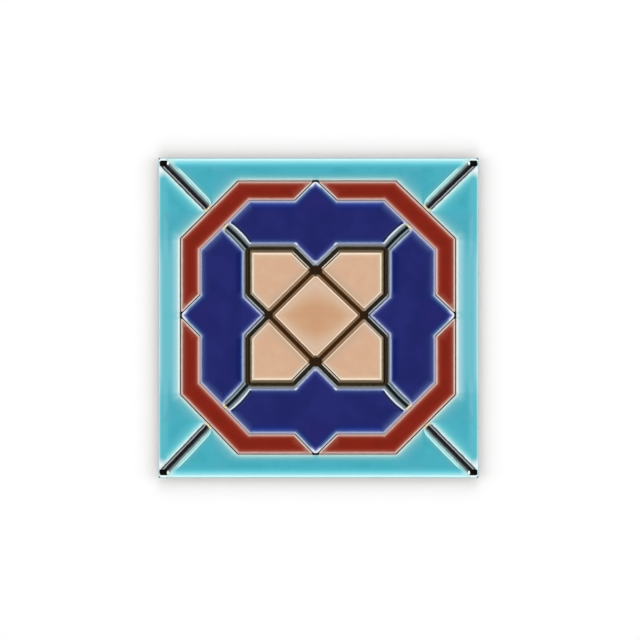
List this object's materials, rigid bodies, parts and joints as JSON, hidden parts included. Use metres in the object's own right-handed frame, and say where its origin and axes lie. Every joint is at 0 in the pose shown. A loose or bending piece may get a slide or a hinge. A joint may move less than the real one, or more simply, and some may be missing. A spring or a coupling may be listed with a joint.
{
  "type": "glazed ceramic wall tile",
  "caption": "Square glazed ceramic tile with shallow raised glaze pools that form an interlaced star inside an octagonal band and border, and a ribbed flat bed face for laying in mortar.",
  "frame": {"origin": "centre of the bed face, which lies on the floor or in the mortar", "axes": "+Z out of the glazed face, +X and +Y along two of the tile's sides"},
  "size_m": [0.2, 0.2, 0.01],
  "materials": {
    "glaze": "glossy glaze in pools of turquoise, iron red, cobalt blue and peach, parted by dark matt lines, on a fired biscuit body"
  },
  "bodies": {
    "root": {"tile": "glaze"}
  },
  "joints": []
}
